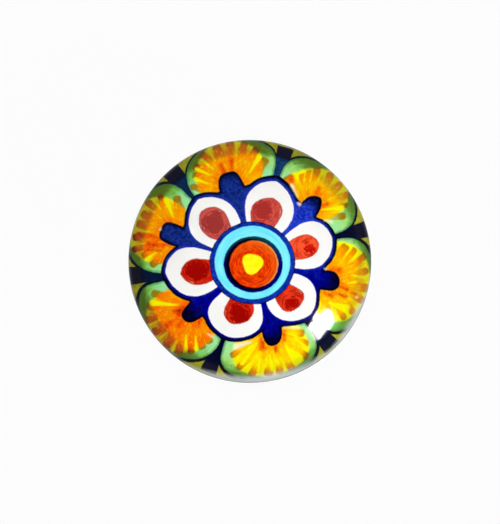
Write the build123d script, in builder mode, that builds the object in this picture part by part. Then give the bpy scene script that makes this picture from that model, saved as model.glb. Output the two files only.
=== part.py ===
# Round ceramic cabinet knob with a domed, decorated face.
# The glazed body is one turned and fired piece: a shallow dome with a sloping rim on a short waisted stem. A
# knurled metal insert is cemented into a blind socket in the stem, and takes the machine screw that comes
# through the door.
# The origin is the centre of the seat, where the foot meets the door, and +Z runs out through the face.
# All sizes are in millimetres.

import os
from math import asin, cos, degrees, radians, sin

from build123d import *

# Head
head_diameter = 38.0  # across the widest line of the head
projection = 27.0  # from the door to the top of the crown
face_radius = 34.0  # of the shallow dome
shoulder_radius = 2.0  # of the roll from the dome into the rim's slope
rim_slope = 55.0  # how steeply the rim falls away, in degrees
rim_slope_length = 2.1
rim_radius = 3.9  # of the roll from the slope into the widest line
rim_roll = 4.3  # how far down the rim keeps its fullness before it turns under
under_head_cove = 5.0  # how far up the stem runs before it sweeps out under the head

# Stem and foot
foot_diameter = 20.0
foot_band = 1.8  # straight wall of the foot above the door
foot_edge = 0.6  # rounding of the foot's lower edge
shoulder_edge = 0.5  # rounding where the foot's wall turns in to the waist
waist_depth = 1.9  # how far the waist is drawn in from the foot
waist_height = 5.6  # of the narrowest line above the door

# Recess in the seat, so that only a ring of the foot touches the door
recess_diameter = 12.4
recess_depth = 1.0

# Threaded insert, M4
thread_bore = 3.3  # across the crests of the thread
bore_mouth = 4.4  # across the countersink that starts the screw
insert_diameter = 7.0  # across the tips of the knurl
insert_length = 10.0  # of the barrel above the flange
flange_diameter = 10.0
flange_thickness = 0.7
knurl_band = 3.3  # length of each knurled band
knurl_grooves = 24  # round each band
knurl_depth = 0.32
relief_depth = 0.55  # of the plain rings beside the bands, from the knurl's tips
relief_width = 0.7  # of the plain ring under the flange
tip_chamfer = 0.35  # at the insert's inner end

# Fit of the insert in the body
cement_gap = 0.15  # film of cement round the barrel
socket_end_gap = 0.8  # room for spare cement past the insert's inner end
socket_lead_in = 0.4  # chamfer at the socket's mouth

head_radius = head_diameter / 2
foot_radius = foot_diameter / 2
waist_radius = foot_radius - waist_depth
face_centre_height = projection - face_radius
rim_centre_radius = head_radius - rim_radius
slope_width = rim_slope_length * cos(radians(rim_slope))
slope_drop = rim_slope_length * sin(radians(rim_slope))
roll_difference = rim_radius - shoulder_radius
shoulder_centre_radius = rim_centre_radius + roll_difference * sin(radians(rim_slope)) - slope_width
shoulder_reach = face_radius - shoulder_radius  # from the centre of the face's arc
face_angle = degrees(asin(shoulder_centre_radius / shoulder_reach))  # of the dome's edge from the knob's axis
shoulder_centre_height = face_centre_height + shoulder_reach * cos(radians(face_angle))
widest_height = shoulder_centre_height - roll_difference * cos(radians(rim_slope)) - slope_drop
insert_radius = insert_diameter / 2
relief_radius = insert_radius - relief_depth
seat_plane = -Plane.XY  # faces the door

# The body's section is turned about the knob's axis: seat, foot wall, cove into the waist, an ogee that
# sweeps out under the head to the widest line, the rim's roll and slope, the shoulder, and the domed face.
# They all meet without a crease.
with BuildPart() as glazed_body:
    with BuildSketch(Plane.XZ):
        with BuildLine():
            seat = Line((0, 0), (foot_radius, 0))
            foot_wall = Line(seat @ 1, (foot_radius, foot_band))
            waist_cove = Bezier(
                foot_wall @ 1,
                (waist_radius, foot_band),
                (waist_radius, waist_height),
            )
            under_head = Bezier(
                waist_cove @ 1,
                (waist_radius, waist_height + under_head_cove),
                (head_radius, widest_height - rim_roll),
                (head_radius, widest_height),
            )
            rim = CenterArc(
                center=(rim_centre_radius, widest_height),
                radius=rim_radius,
                start_angle=0,
                arc_size=90 - rim_slope,
            )
            shoulder = CenterArc(
                center=(shoulder_centre_radius, shoulder_centre_height),
                radius=shoulder_radius,
                start_angle=90 - rim_slope,
                arc_size=rim_slope - face_angle,
            )
            Line(rim @ 1, shoulder @ 0)
            face = CenterArc(
                center=(0, face_centre_height),
                radius=face_radius,
                start_angle=90 - face_angle,
                arc_size=face_angle,
            )
            Line(face @ 1, seat @ 0)
        make_face()
    revolve(axis=Axis.Z)

    foot_rings = glazed_body.edges().filter_by(GeomType.CIRCLE).filter_by(
        lambda edge: abs(edge.radius - foot_radius) < 1e-6
    )
    fillet(foot_rings.sort_by(Axis.Z)[0], foot_edge)
    fillet(foot_rings.sort_by(Axis.Z)[-1], shoulder_edge)

    with Locations(seat_plane):
        CounterBoreHole(
            radius=insert_radius + cement_gap,
            counter_bore_radius=recess_diameter / 2,
            counter_bore_depth=recess_depth,
            depth=recess_depth + insert_length + socket_end_gap,
        )
    socket_mouth = glazed_body.edges().filter_by(GeomType.CIRCLE).filter_by(
        lambda edge: abs(edge.radius - insert_radius - cement_gap) < 1e-6
    ).sort_by(Axis.Z)[0]
    chamfer(socket_mouth, socket_lead_in)

# The insert's flange lies against the floor of the recess, just clear of the door. Two knurled bands with
# plain rings beside them key it into the cement.
with BuildPart() as threaded_insert:
    with BuildSketch(Plane.XY.offset(recess_depth - flange_thickness)):
        Circle(flange_diameter / 2)
    extrude(amount=flange_thickness)
    with BuildSketch(Plane.XY.offset(recess_depth)):
        Circle(relief_radius)
    extrude(amount=insert_length)

    lower_band = recess_depth + relief_width
    upper_band = recess_depth + insert_length - knurl_band
    for band_height in (lower_band, upper_band):
        with BuildSketch(Plane.XY.offset(band_height)):
            Circle(insert_radius)
            with PolarLocations(insert_radius, knurl_grooves):
                Polygon(
                    (-knurl_depth, 0),
                    (knurl_depth, knurl_depth * 2),
                    (knurl_depth, -knurl_depth * 2),
                    align=None,
                    mode=Mode.SUBTRACT,
                )
        extrude(amount=knurl_band)

    with BuildSketch(Plane.XZ):
        with BuildLine():
            inner_end = recess_depth + insert_length
            Polyline(
                (insert_radius - tip_chamfer, inner_end),
                (insert_radius, inner_end),
                (insert_radius, inner_end - tip_chamfer),
                close=True,
            )
        make_face()
    revolve(axis=Axis.Z, mode=Mode.SUBTRACT)

    with Locations(seat_plane.offset(flange_thickness - recess_depth)):
        CounterSinkHole(
            radius=thread_bore / 2,
            counter_sink_radius=bore_mouth / 2,
            counter_sink_angle=90,
        )

os.makedirs("parts", exist_ok=True)
for name, piece in {
    "glazed_body": glazed_body,
    "threaded_insert": threaded_insert,
}.items():
    piece.part.label = name
    export_step(piece.part, f"parts/{name}.step")
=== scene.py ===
# Painted ceramic cabinet knob: white tin glaze with a flower in oxide colours on the domed face, bare fired
# clay at the foot, a threaded brass insert in the back, and a plain pale studio.
import math

import bpy
import numpy as np
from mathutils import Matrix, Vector


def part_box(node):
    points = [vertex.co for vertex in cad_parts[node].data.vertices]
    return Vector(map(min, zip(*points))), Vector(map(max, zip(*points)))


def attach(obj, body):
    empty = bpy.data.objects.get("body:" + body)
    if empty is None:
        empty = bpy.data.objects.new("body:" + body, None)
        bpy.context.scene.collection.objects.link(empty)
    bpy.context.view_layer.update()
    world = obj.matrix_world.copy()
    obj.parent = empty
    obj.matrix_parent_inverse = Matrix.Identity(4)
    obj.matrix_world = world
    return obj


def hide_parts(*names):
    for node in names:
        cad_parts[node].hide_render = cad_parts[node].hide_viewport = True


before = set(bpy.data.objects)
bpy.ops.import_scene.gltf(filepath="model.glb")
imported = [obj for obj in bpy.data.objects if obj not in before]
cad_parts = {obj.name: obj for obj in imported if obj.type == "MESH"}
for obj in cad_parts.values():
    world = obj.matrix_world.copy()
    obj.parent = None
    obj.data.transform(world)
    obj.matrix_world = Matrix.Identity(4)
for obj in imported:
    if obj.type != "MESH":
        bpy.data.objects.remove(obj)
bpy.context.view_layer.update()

MM = 0.001  # the scene is in metres, and the sizes below are in millimetres
same_place = 1e-6  # points closer than this are one
body_low, body_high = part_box("glazed_body")
insert_low, insert_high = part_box("threaded_insert")

# Section of the body
head_radius = (body_high.x - body_low.x) / 2 / MM
projection = body_high.z / MM
face_radius = 34.0
shoulder_radius = 2.0
rim_slope = math.radians(55.0)
rim_slope_length = 2.1
rim_radius = 3.9
rim_roll = 4.3
under_head_cove = 5.0
foot_radius = 10.0
foot_band = 1.8
foot_edge = 0.6
shoulder_edge = 0.5
waist_radius = 8.1
waist_height = 5.6
recess_radius = 6.2
recess_depth = 1.0
socket_radius = 3.65
socket_lead_in = 0.4
socket_end = 11.8
face_centre_height = projection - face_radius
rim_centre_radius = head_radius - rim_radius
shoulder_centre_radius = (
    rim_centre_radius
    + (rim_radius - shoulder_radius) * math.sin(rim_slope)
    - rim_slope_length * math.cos(rim_slope)
)
face_angle = math.asin(shoulder_centre_radius / (face_radius - shoulder_radius))
shoulder_centre_height = face_centre_height + (face_radius - shoulder_radius) * math.cos(face_angle)
widest_height = (
    shoulder_centre_height
    - (rim_radius - shoulder_radius) * math.cos(rim_slope)
    - rim_slope_length * math.sin(rim_slope)
)

# Threaded insert: sizes that its node's box doesn't give
insert_radius = 3.5
relief_radius = 2.95
relief_width = 0.7
knurl_band = 3.3
knurl_grooves = 24
knurl_depth = 0.32
tip_chamfer = 0.35
flange_bevel = 0.08
bore_mouth = 2.2
thread_crest = 1.65
thread_depth = 0.35
thread_pitch = 0.7
thread_root_flat = thread_pitch / 16  # half widths of the flats at the root and the crest
thread_crest_flat = thread_pitch * 3 / 8
thread_row_height = 0.06
insert_segments = 240
knurl_rows = 12
sharp_edge = math.radians(35)

# Mesh of the body
painted_spacing = 0.19  # between points where there may be paint
plain_spacing = 0.42
socket_spacing = 1.0
socket_end_spacing = 1.5
paint_reach_past_rim = 3.2  # how far below the widest line the fine mesh goes on
fewest_points = 6  # in a ring

# Small unevenness of a hand-finished body, all of it inward. Each wave has its count round the knob, its
# phase, its share, and how far it turns with height.
wobble_depth = 0.035
wobble_waves = [(2, 0.6, 1.0, 0.0), (3, 2.1, 0.7, 0.11), (5, -1.3, 0.5, -0.23), (9, 0.4, 0.35, 0.35)]
glaze_thickness = 0.12
glaze_line_height = 1.25  # of the glaze's lower edge, above the door
glaze_line_wander = 0.3
glaze_line_waves = [(2, 0.9, 1.0, 0.0), (5, 2.0, 0.6, 0.0), (11, 0.0, 0.4, 0.0)]
glaze_edge_width = 0.25
blue_raised = 0.016  # how thick the brushed colours lie on the glaze
spot_raised = 0.012

# The painted flower. Angles run anticlockwise from +X as the face is seen from the front, in degrees. Radii
# are from the flower's middle as the camera sees them. Past the head's radius they count on down the side.
flower_centre = (0.41, -0.26)
blue_field_radius = 13.3
overlap = 0.1  # how far the paint of a form may run past the form round it
depth_reach = 1.5  # how far outside a form its depth is still measured
far_outside = -9.0  # depth of what lies outside every form
# Petals, spots, clubs and fans are arches that stand on a circle round the flower's middle. Each has the
# angles of its two feet, the angle and radius of its tip, and how each side swells out and how it rises. The
# anticlockwise side comes first.
arch_points = 30  # along each side
arch_crowding = 2.2  # how much closer they lie toward the tip
petal_foot = 6.55
spot_foot = 6.35
club_root = 1.6  # how far a club's sides go on below its feet
petals = [
    dict(feet=(159.4, 106.2), tip=(130.6, 13.06), curves=(1.4, 3, 1.2, 2.2)),
    dict(feet=(98.4, 45.2), tip=(73.4, 13.3), curves=(1.4, 2.9, 1.1, 2.5)),
    dict(feet=(40.2, -7.2), tip=(17.5, 13.06), curves=(2, 3.1, 1.4, 2.8)),
    dict(feet=(-13.9, -70.9), tip=(-41, 12.14), curves=(1.4, 2.7, 1.3, 2.15)),
    dict(feet=(-78.4, -136.5), tip=(-108, 12.14), curves=(1.4, 3.3, 1.5, 3.9)),
    dict(feet=(-145.5, -195.6), tip=(-173.75, 13.67), curves=(1.3, 2.65, 1.5, 3.3)),
]
# Each spot is drawn in at its foot by the waist's share, and has a darker patch: its middle and its radius.
# The tone runs from brown-red, partly painted reflection on the upper spots, to deep red.
spots = [
    dict(feet=(150.1, 117.5), tip=(134.7, 11.38), curves=(1.2, 3.4, 1.5, 4), waist=0.18,
         patch=(133.5, 8.7, 1.75), tone=0),
    dict(feet=(93.1, 57.5), tip=(72.5, 10.68), curves=(1.3, 3.4, 1.5, 4.2), waist=0.06,
         patch=(79.5, 8.5, 1.6), tone=0.1),
    dict(feet=(30.9, 3.9), tip=(16.6, 10.87), curves=(1.5, 3.5, 1.4, 3.6), waist=0.03,
         patch=(13.5, 9.2, 0.85), tone=0.45),
    dict(feet=(-28.8, -58.4), tip=(-43, 10.01), curves=(2, 7, 2, 4.6), waist=0.03,
         patch=(-46, 9, 1.15), tone=0.8),
    dict(feet=(-88, -122.5), tip=(-108.5, 10.06), curves=(1.2, 3.2, 1.6, 3.7), waist=0,
         patch=(-104.5, 8.3, 1.7), tone=1),
    dict(feet=(-155.3, -185), tip=(-171.25, 11.43), curves=(1.2, 2.9, 1.3, 4.2), waist=0.06,
         patch=(-172.5, 8.7, 1.75), tone=0.9),
]
clubs = [
    dict(feet=(168.3, 152.5), foot=11.6, tip=(160, 15.3), curves=(4.2, 1.6, 3.8, 3)),
    dict(feet=(115.6, 94.6), foot=11.6, tip=(104.5, 14.75), curves=(4.6, 0.85, 3, 0.75)),
    dict(feet=(50.9, 35), foot=11.6, tip=(43.8, 14.8), curves=(1.25, 3.4, 1.75, 1.2)),
    dict(feet=(-5.3, -21.6), foot=11.1, tip=(-13.3, 14.05), curves=(1.75, 3.4, 3.25, 1.2)),
    dict(feet=(-65, -82.5), foot=10.6, tip=(-75, 13.35), curves=(2.25, 1.3, 2.75, 2.1)),
    dict(feet=(-132.8, -148.6), foot=11.2, tip=(-141.2, 13.95), curves=(2.5, 1.6, 2.75, 0.9)),
]
# Each fan has a warm middle in its green border, the width of its outline, its warmth from yellow to
# red-orange at its anticlockwise side, middle and clockwise side, and how far out its strokes run together.
fans = [
    dict(feet=(186.8, 133.6), foot=13.5, tip=(160, 20), curves=(3.25, 1.6, 2.5, 3.7),
         warm=dict(feet=(181.2, 141.2), tip=(160, 20.4), curves=(2.25, 2.5, 1.25, 4.7)),
         outline=0.42, warmth=(0.5, 0.5, 0.34), merge=0.8),
    dict(feet=(131, 76.7), foot=13.5, tip=(104, 19.6), curves=(2.75, 2, 2.25, 4.6),
         warm=dict(feet=(127.5, 83.3), tip=(104, 19.9), curves=(1.5, 2.3, 1, 5)),
         outline=0.26, warmth=(0.4, 0.5, 0.28), merge=0.8),
    dict(feet=(72.5, 19.2), foot=13.5, tip=(46, 19), curves=(2.5, 3.3, 2.5, 3),
         warm=dict(feet=(71.5, 29.2), tip=(46, 19.3), curves=(1.3, 1.75, 2.25, 3.5)),
         outline=0.34, warmth=(0.3, 0.32, 0.2), merge=0.55),
    dict(feet=(15.8, -43.2), foot=13, tip=(-12.5, 18.8), curves=(3.5, 2.4, 3.5, 2.4),
         warm=dict(feet=(15.2, -37.5), tip=(-12.5, 18.65), curves=(2, 2.6, 2, 3.7)),
         outline=0.5, warmth=(0.32, 0.36, 0.05), merge=0.5),
    dict(feet=(-49, -109.4), foot=12.4, tip=(-79.5, 18.4), curves=(3.25, 2.8, 2.75, 3.9),
         warm=dict(feet=(-53.2, -102.8), tip=(-79.5, 18.1), curves=(1.5, 5.4, 1.25, 6.4)),
         outline=0.55, warmth=(0.05, 0.14, 0.2), merge=0.3),
    dict(feet=(-112.3, -168.6), foot=12.9, tip=(-141, 19.3), curves=(2, 2.1, 3.25, 5.1),
         warm=dict(feet=(-117.2, -162.8), tip=(-141, 19.3), curves=(1.5, 2.3, 2.5, 3)),
         outline=0.5, warmth=(0.5, 0.74, 0.42), merge=0.75),
]
# Outer ends of each fan's brush strokes, which all run in to its club: angle, radius, half width, and how
# dark the paint has gathered there
stroke_tips = [
    [(181.5, 15.9, 0.52, 0.7), (176.8, 17.3, 0.52, 0.75), (174, 18.9, 0.5, 1), (168.2, 19.1, 0.55, 0.95),
     (161, 19.1, 0.62, 0.68), (155.5, 19, 0.6, 0.66), (149.5, 19.1, 0.55, 0.8), (143.5, 18.1, 0.42, 0.95),
     (138.8, 15.8, 0.58, 0.75)],
    [(129, 15.4, 0.42, 0.5), (124, 16.6, 0.5, 0.6), (121.4, 17.7, 0.55, 0.9), (115.5, 18.9, 0.62, 0.7),
     (107.5, 19.3, 0.64, 0.62), (100.5, 19.3, 0.62, 0.62), (93.5, 19, 0.52, 0.6), (87.5, 18.1, 0.5, 0.9),
     (82.3, 16.5, 0.58, 0.45)],
    [(68.2, 14.6, 0.85, 0.4), (60.9, 15.9, 0.68, 0.08), (58.6, 16.9, 0.6, 0.16), (56, 17.9, 0.6, 0.4),
     (49, 18.7, 0.55, 0.3), (42, 18.7, 0.52, 0.2), (35.5, 18.6, 0.5, 0.3), (31.3, 17.5, 0.32, 0.7),
     (26.8, 16.3, 0.48, 0.7)],
    [(10.6, 15, 0.66, 0.45), (8.2, 16.2, 0.52, 0.4), (4, 17.7, 0.5, 0.5), (-3.5, 18.1, 0.5, 0.5),
     (-12.5, 18.4, 0.66, 0.25), (-19, 18.4, 0.55, 0.5), (-26.5, 17.7, 0.5, 0.3), (-31.5, 16.9, 0.45, 0.4),
     (-36, 15.3, 0.3, 0.2)],
    [(-54, 13.7, 0.54, 0.25), (-55.6, 15.4, 0.56, 0.25), (-59.5, 17.1, 0.55, 0.65), (-69.5, 17.8, 0.6, 0.35),
     (-76, 17.9, 0.55, 0.4), (-82.2, 17.8, 0.68, 0.6), (-91, 17.7, 0.55, 0.45), (-98, 16.7, 0.45, 0.55),
     (-103, 15, 0.42, 0.35)],
    [(-118, 14.2, 0.62, 0.15), (-120, 15.5, 0.58, 0.15), (-123.8, 17.1, 0.52, 0.9),
     (-128.8, 18.5, 0.55, 0.8), (-136, 19, 0.64, 0.85), (-145, 19, 0.62, 0.78), (-152, 19.1, 0.52, 0.75),
     (-157.5, 17.8, 0.52, 0.5), (-163.5, 16.4, 0.52, 0.7)],
]
stroke_root_width = 0.38
stroke_corner = 0.42  # radius of the strokes' blunt outer corners
stroke_side_gap = 0.6  # of the side strokes' inner ends above the club's feet
stroke_middle_gap = 0.3  # of the middle stroke's inner end above the club's tip
stroke_root_bulge = 0.7  # the lower it is, the further out the side strokes start
mark_fine_end = 0.05
# Single marks of the brush, and bare ones where the glaze shows, two of them painted highlights: angle and
# radius of the fine end, then of the broad end, and its half width
yellow_marks = [
    (173.5, 15.1, 178.7, 16.8, 0.34), (149.8, 14.3, 143.2, 17, 0.48), (149.6, 16.6, 147.4, 18.4, 0.2),
    (169.4, 16.9, 171, 18.8, 0.15), (163.2, 16.6, 164.2, 18.9, 0.18), (152.6, 17.2, 152.4, 18.9, 0.16),
    (119.2, 14.2, 124.7, 16.1, 0.32), (115.6, 15.2, 121.2, 17.3, 0.27), (112.6, 15.9, 116.4, 18.1, 0.22),
    (91.6, 14.2, 85.8, 17, 0.42), (110, 17, 111.3, 18.9, 0.16), (98.6, 17, 97.3, 19, 0.2),
    (37.2, 13.8, 31, 16.8, 0.42), (60.8, 14.7, 63.4, 15.8, 0.14), (51.4, 16.4, 52.6, 18.3, 0.26),
    (44.8, 17, 45.4, 18.6, 0.22), (39.6, 17, 38.8, 18.3, 0.22), (57.6, 15, 60, 16.6, 0.07),
    (54.8, 15.6, 57.2, 17.4, 0.09), (0.6, 15.2, 6, 17.1, 0.32), (2.6, 14.2, 9.2, 15.8, 0.16),
    (-7, 15.6, -7.6, 18, 0.26), (-27.5, 13.4, -25.8, 16.8, 0.75), (-12, 15.2, -10.2, 16.6, 0.2),
    (-68.5, 13.8, -64.6, 17, 1.05), (-79.6, 14.5, -79.2, 17.2, 0.36), (-85.6, 14.9, -87, 17.1, 0.25),
    (-88.5, 13.2, -96.4, 16, 0.34), (-89.5, 15.2, -94.5, 16.9, 0.22), (-60.5, 13.4, -57, 16.2, 0.32),
    (-127.8, 14.5, -122.4, 16.3, 0.3), (-132.6, 15.3, -127.4, 17.2, 0.28), (-150.6, 13.4, -158.9, 17.2, 0.5),
    (-134.2, 17, -132.3, 18.7, 0.18), (-140.8, 17.2, -140.9, 18.8, 0.16), (-148.4, 17, -148.8, 18.8, 0.16),
]
red_marks = [
    (168.2, 13.2, 169.9, 17, 0.66), (166.8, 15.4, 165.6, 18.6, 0.3), (165.4, 15, 164.8, 17, 0.3),
    (172.2, 14.4, 173.2, 17.2, 0.24), (106.8, 14.6, 107.8, 16.4, 0.28), (102.2, 14.4, 101.2, 16.6, 0.38),
    (47, 14.8, 48.6, 15.9, 0.26), (62.8, 14, 66.6, 14.7, 0.5), (39.2, 14.1, 37.8, 15.2, 0.24),
    (-5.8, 12, -3.8, 13.9, 0.34), (-15, 14.2, -15.8, 15.6, 0.32), (-20.2, 13.6, -19.6, 15.8, 0.34),
    (-17, 16, -16.8, 17, 0.18), (-84.2, 11.3, -82.6, 13.7, 0.5), (-65.2, 11.7, -67.8, 13.2, 0.26),
    (-74.8, 13.4, -75, 14.4, 0.2), (-148.4, 12.2, -145.8, 14.4, 0.98), (-141, 14, -139, 15.2, 0.4),
    (-132.4, 11.8, -131.2, 13.3, 0.3), (-143.6, 14.6, -143.8, 17, 0.45), (-22.6, 12.2, -22.8, 13.5, 0.26),
]
bare_and_highlight_marks = [
    (56, 12.5, 63.8, 13.75, 0.2), (30.8, 13.1, 27.2, 14.1, 0.22), (-90.5, 12.3, -102.8, 13.5, 0.5),
    (-64, 11.2, -54.4, 12.45, 0.12), (52.9, 11.75, 50.4, 11.8, 0.3), (-4.6, 11.35, -4.9, 11.6, 0.12),
    # The marks at 159° and -18° are painted highlights, not bare glaze
    (159.2, 15.3, 160.4, 15.35, 0.14), (-18.2, 17.1, -18, 17.3, 0.12), (-122, 13.1, -118.4, 13.1, 0.1),
]
# Dark blocks between the fans: edges at their narrow and wide ends, where they stop, and how blue they are
# inside
block_narrow_radius = 12.8
block_wide_radius = 17.0
blocks = [
    dict(narrow=(135, 129), wide=(136, 127), top=20.3, tone=0.35),
    dict(narrow=(78, 71.5), wide=(77.9, 69.8), top=18.9, tone=0.75),
    dict(narrow=(20.5, 14), wide=(20.6, 12.6), top=18.8, tone=0.02),
    dict(narrow=(-42, -50), wide=(-42, -51.2), top=18.2, tone=0.1),
    dict(narrow=(-108.5, -113.5), wide=(-108, -116.2), top=18.5, tone=0),
    dict(narrow=(-168, -174.5), wide=(-169.6, -178.2), top=20.3, tone=0.12),
]
# Bands of the flower's eye: middle, half width and half height
eye_bands = {
    "ring_edge": (0.0, 0.0, 6.58, 6.36),
    "ring": (0.0, 0.08, 5.9, 5.72),
    "pupil_edge": (0.1, -0.21, 4.62, 4.4),
    "pupil": (0.24, -0.18, 3.8, 3.68),
}
heart_middle = -0.1  # up from the flower's middle
heart_radius = 1.58
heart_corners = 0.1  # how far the heart of the eye leans to a triangle that points down
heart_lean = math.radians(13.0)  # of that triangle, clockwise
# The paint stops at the widest line, and higher up at the lower right, where it thins to a pale wash first
paint_end = 20.2
paint_end_lift = 1.3
paint_lift_angle = -79.0
paint_lift_spread = 44.0
wash_width = 1.2
wash_share = 0.88
wash_starts = {
    -124: 18.4, -118: 18.1, -106: 17.55, -90: 17.2, -80: 17.05, -70: 17.2, -62: 17.35, -54: 17.5, -47: 17.7,
    -38: 17.3, -25: 17.25, -15: 17.9, 0: 18.6, 60: 19.4, 180: 19.4,
}
# Radii from the knob's middle: of a thin line of painted shade round the lower edge, and where painted
# shade darkens the rim's paint
rim_shade_line_radius = 18.97
rim_shade_line_width = 0.11
rim_shade_line_softness = 0.08
rim_shade_darkening = (16.4, 17.3)
shade_width = 1.8  # of the blue's outward change to dark
shade_share = 0.86
# The eye's pale side is partly painted light, lighter toward the top and right
eye_lean = 0.2  # how far above the right the eye's pale side lies, in radians
# How fast the brush's noise changes: first across its run, then along it
fan_brush_scale = (5.0, 0.45)
border_brush_scale = (2.6, 3.2)
spot_brush_scale = (2.6, 1.3)
round_brush_scale = (2.4, 1.6)
fan_apart = 7.0  # how far apart the noise of neighbouring fans is taken
spot_apart = 5.0
# Round the flower by angle: the blue's tone, from deep through bright to navy, with the navy at the top
# partly painted reflection; where it starts to darken; how far painted shade darkens the paint at the rim;
# how strong the painted shade line is; and how wide the petals' outlines are
field_tones = {
    -173: 0.1, -140: 0.0, -75: 0.0, -14: 0.0, 15: 0.3, 44: 0.5, 72: 0.8, 104: 0.92, 160: 1.0, 178: 0.6,
}
shade_starts = {-141: 10.6, -75: 10.6, -13: 11.3, 44: 11.9, 104: 12.8, 160: 14.3}
painted_rim_shades = {-150: 0.34, -100: 0.1, -80: 0.04, -60: 0.1, 0: 0.14, 90: 0.26, 180: 0.38}
rim_shade_lines = {-170: 0.0, -125: 0.9, -55: 0.9, -25: 0.3, 10: 0.0}
outline_widths = {
    -155: 0.85, -120: 0.75, -95: 0.66, -60: 0.8, -30: 0.6, 5: 0.78, 30: 0.68, 62: 1.0, 85: 0.88, 125: 0.85,
    145: 0.74, 175: 0.68,
}

# Edges of the painted forms: how much of the hand's wander each takes, and the depths in millimetres where
# its paint starts and where it is full
edges = {
    "fan": (0.8, -0.06, 0.1), "outline": (0.8, -0.07, 0.09), "block": (0.8, -0.08, 0.1),
    "warm": (1.4, -0.2, 0.25), "yellow": (0.8, -0.18, 0.1), "paint_end": (2.0, -0.3, 0.35),
    "blue": (0.8, -0.06, 0.1), "petal": (0.7, -0.05, 0.09), "spot": (1.1, -0.08, 0.12),
    "bare": (0.6, -0.26, 0.24), "ring_edge": (1.1, -0.08, 0.08), "ring": (0.8, -0.1, 0.1),
    "pupil_edge": (1.0, -0.08, 0.08), "pupil": (1.0, -0.09, 0.09), "heart": (0.7, -0.12, 0.12),
}

# Oxide colours, as they look on the fired glaze. Those that follow a value have the value beside each.
glaze_white = ("f7f6f2", "fcfbf8")
cream_and_highlight = "fdf6d8"
glaze_pooled = "dfe6e2"
glaze_thin = "cfae86"
iron_speck = "6b5138"
# Grey of the painted shade line just inside the lower edge
rim_shade_line_grey = "3c4254"
# Black of the painted shade laid over the rim's paint
rim_shade_dark = "000000"
# The ground's olive is partly painted shade: a yellow as it looks in the rim's shade
ground_olive = ("b4b422", "d4cc24")
outline_navy = "020716"
paint_wash = "ecf4f0"
block_inner = ("000224", "1c4c80")
# The blocks' navy as it looks in the rim's shade: painted shade
block_rim_shaded = ("000020", "020430")
# The olive toward the rim is partly painted shade
green_border = {0.1: "9ae8a2", 0.5: "7ccc5c", 0.86: "6c8e14"}
green_lime = "bcec80"
green_edge = "3c8c50"
fan_yellow = "fff800"
fan_lemon = "fff21c"
fan_warmths = {0.06: fan_yellow, 0.34: "ffca00", 0.62: "ff9c00", 0.95: "ff7600"}
fan_ember = ("e02c00", "ff5c02")
fan_coal = "ac1404"
stroke_gold = "ffdf90"
stroke_amber = "ffac48"
stroke_brown = "b87008"
stroke_umber = "9b1a04"
stroke_on_green = ("a47c18", "d08a1c")
# Blues by the field's tone: the greyer navy at 0.95, toward the top, is partly painted reflection
blue_dark = {0.0: "00005e", 0.5: "1428ac", 0.95: "0c2070"}
blue_light = {0.0: "000094", 0.5: "2844d0", 0.95: "183488"}
blue_beside = {0.0: "0000a8", 0.5: "2c46dc", 0.95: "2232b8"}
blue_speck = "2844d0"
blue_edge = "01010c"
# Reds by the spots' tone: the dull brown-red at 0 is partly painted reflection
red_edge = {0.0: "cf524a", 0.45: "f8582e", 0.9: "e02a10"}
red_patch = {0.0: "a03632", 0.45: "c60e04", 0.9: "9c0602"}
red_worn = {0.0: "f0a898", 0.45: "ffa484", 0.9: "ff7a54"}
eye_edge_blue = ("0a2a9c", "123cc4")
eye_cyan = ("5fe4fb", "8df4ff")
eye_navy = "020110"
eye_navy_edge = ("02026e", "0a4450")
eye_red = ("d02400", "f64a04")
eye_orange = "f48420"
eye_red_rim = "f2b04c"
heart_yellow = ("fff200", "fffb20")
clay = ("b68a68", "d2ab88")
clay_grit = "7d5238"
brass_colour = ("b78d4a", "d2ab62")
brass_tarnish = "6e5230"

# Picture and studio
picture_size = (500, 524)
knob_in_picture = (249.8, 261.35)  # middle of the head's outline, in pixels
knob_width_in_picture = 243.2
camera_distance = 600.0  # from the widest line
sensor_width = 36.0
# How bright the room and each lamp alone make a white surface that faces it
room_level = 0.14
overhead_level = 0.8
overhead_place = (90, 86, 0.9)  # azimuth, elevation and distance in metres
overhead_size = (0.45, 0.45)
window_level = 0.22
window_place = (-41.5, 36.1, 0.5)
window_size = (0.135, 0.07)
glint_level = 245.0  # of a lamp beside the window that only the glaze mirrors
glint_size = (0.131, 0.075)
glint_fades = (("X", 0.0, 0.3), ("X", 1.0, 0.7), ("Y", 0.0, 0.06))  # side, and where a fade starts and ends
glaze_gloss = 0.025
ceiling_level = 0.05  # of the dark ceiling that the glaze mirrors
ceiling_edge = (0.45, 0.75)  # how steeply up the mirrored room turns from white to dark
floor_level = 0.55
floor_glow_share = 0.95
floor_drop = 0.05  # of the floor below the seat, so that the two faces stay apart


def polar(radius, angle, *more):
    """Points at the given radii and angles in radians, with further coordinates after these two."""
    return np.stack([radius * np.cos(angle), radius * np.sin(angle), *more], axis=-1)


def along_line(points):
    """How far along the line through the points each of them lies."""
    return np.cumsum(np.hypot(*np.diff(points, axis=0, prepend=points[:1]).T))


def section_arc(centre, radius, start, end, spacing):
    """Points of an arc in the section, from one angle to another in degrees."""
    turns = max(2, math.ceil(abs(math.radians(end - start)) * radius / spacing))
    return centre + polar(radius, np.radians(np.linspace(start, end, turns + 1)))


def section_curve(points, spacing):
    """Points of a Bezier curve in the section. Two points make a straight line."""
    steps = max(1, math.ceil(math.dist(points[0], points[-1]) / spacing))
    rate = np.linspace(0, 1, steps + 1)[:, None]
    degree = len(points) - 1
    terms = [
        math.comb(degree, k) * (1 - rate) ** (degree - k) * rate**k * np.array(point)
        for k, point in enumerate(points)
    ]
    return sum(terms)


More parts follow.
